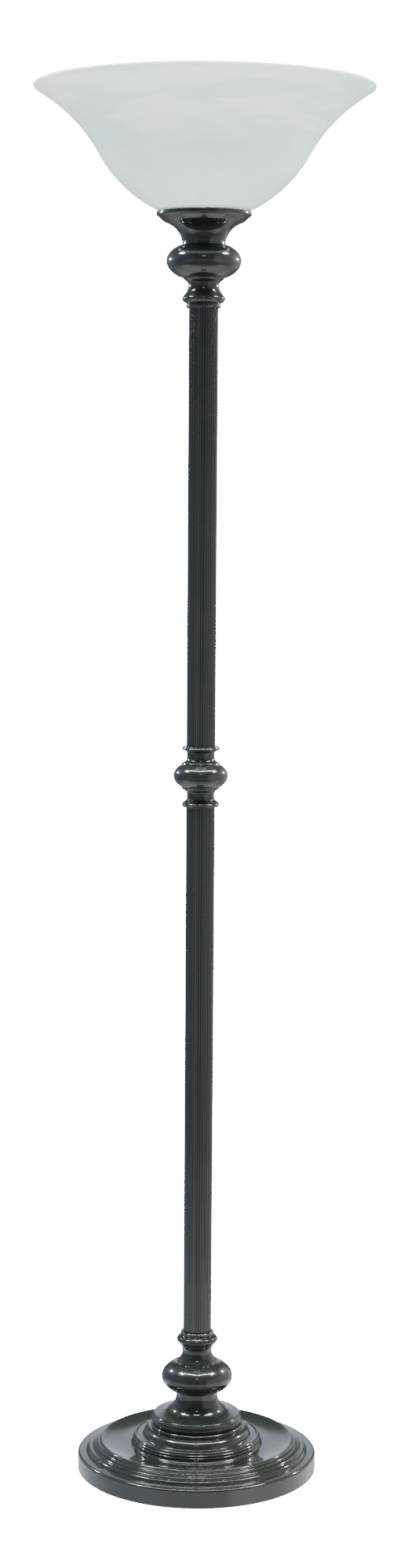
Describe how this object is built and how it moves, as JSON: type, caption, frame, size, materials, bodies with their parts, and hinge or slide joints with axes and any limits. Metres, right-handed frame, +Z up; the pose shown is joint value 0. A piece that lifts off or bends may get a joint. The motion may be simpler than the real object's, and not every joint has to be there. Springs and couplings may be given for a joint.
{
  "type": "torchiere floor lamp",
  "caption": "Floor lamp with a stepped round weighted base, a reeded column with ball and bead castings, and an upward flared alabaster glass bowl over an upright bulb.",
  "frame": {"origin": "middle of the floor face, on the column's axis", "axes": "+Z up along the column, -Y the front, +Y the back where the lead leaves the base, +X the side of the switch knob"},
  "size_m": [0.42, 0.4198, 1.77],
  "materials": {
    "bronze_lacquer": "glossy dark bronze lacquer",
    "felt": "matt felt",
    "cast_iron": "rough cast, dull",
    "black_nylon": "satin",
    "zinc_steel": "zinc plated",
    "brass": "turned, satin",
    "socket_brass": "pressed, bright",
    "rubber": "matt",
    "alabaster_glass": "opal glass with faint swirls, satin",
    "fibre_board": "matt pressed fibre",
    "phenolic": "moulded, satin",
    "bulb_glass": "frosted",
    "bulb_cap": "pressed",
    "bulb_insulator": "glassy black",
    "clear_glass": "clear",
    "tungsten": "drawn wire"
  },
  "bodies": {
    "lamp": {"base_felt": "felt", "base_weight": "cast_iron", "base_cover": "bronze_lacquer", "cord_bushing": "black_nylon", "base_washer": "zinc_steel", "base_nut": "zinc_steel", "lock_washers": "zinc_steel", "base_bell": "bronze_lacquer", "lower_knuckle": "bronze_lacquer", "lower_bead": "bronze_lacquer", "lower_tube": "bronze_lacquer", "coupling_lower_collar": "bronze_lacquer", "coupling_ball": "bronze_lacquer", "coupling_upper_collar": "bronze_lacquer", "upper_tube": "bronze_lacquer", "upper_bead": "bronze_lacquer", "upper_knuckle": "bronze_lacquer", "seating_rings": "brass", "lower_pipe": "zinc_steel", "pipe_coupling": "brass", "upper_pipe": "zinc_steel", "bowl_cup": "bronze_lacquer", "bowl_gasket": "rubber", "glass_bowl": "alabaster_glass", "bowl_washer": "rubber", "bowl_plate": "brass", "bowl_nut": "brass", "socket_cap": "socket_brass", "socket_shell": "socket_brass", "socket_liner": "fibre_board", "socket_body": "phenolic", "screw_shell": "socket_brass", "centre_contact": "socket_brass", "terminal_screws": "brass", "cap_set_screw": "zinc_steel"},
    "switch": {"switch_spindle": "zinc_steel", "switch_knob": "phenolic", "knob_set_screw": "zinc_steel"},
    "bulb": {"bulb_glass": "bulb_glass", "bulb_cap": "bulb_cap", "bulb_insulator": "bulb_insulator", "bulb_stem": "clear_glass", "bulb_filament": "tungsten"}
  },
  "joints": [
    {"name": "switch_turn", "type": "hinge", "parent": "lamp", "child": "switch", "pos_m": [0.0174, 0, 1.6438], "axis": [1, 0, 0], "continuous": true},
    {"name": "bulb_lift", "type": "slide", "parent": "lamp", "child": "bulb", "axis": [0, 0, 1], "range_m": [0, 0.12]}
  ]
}
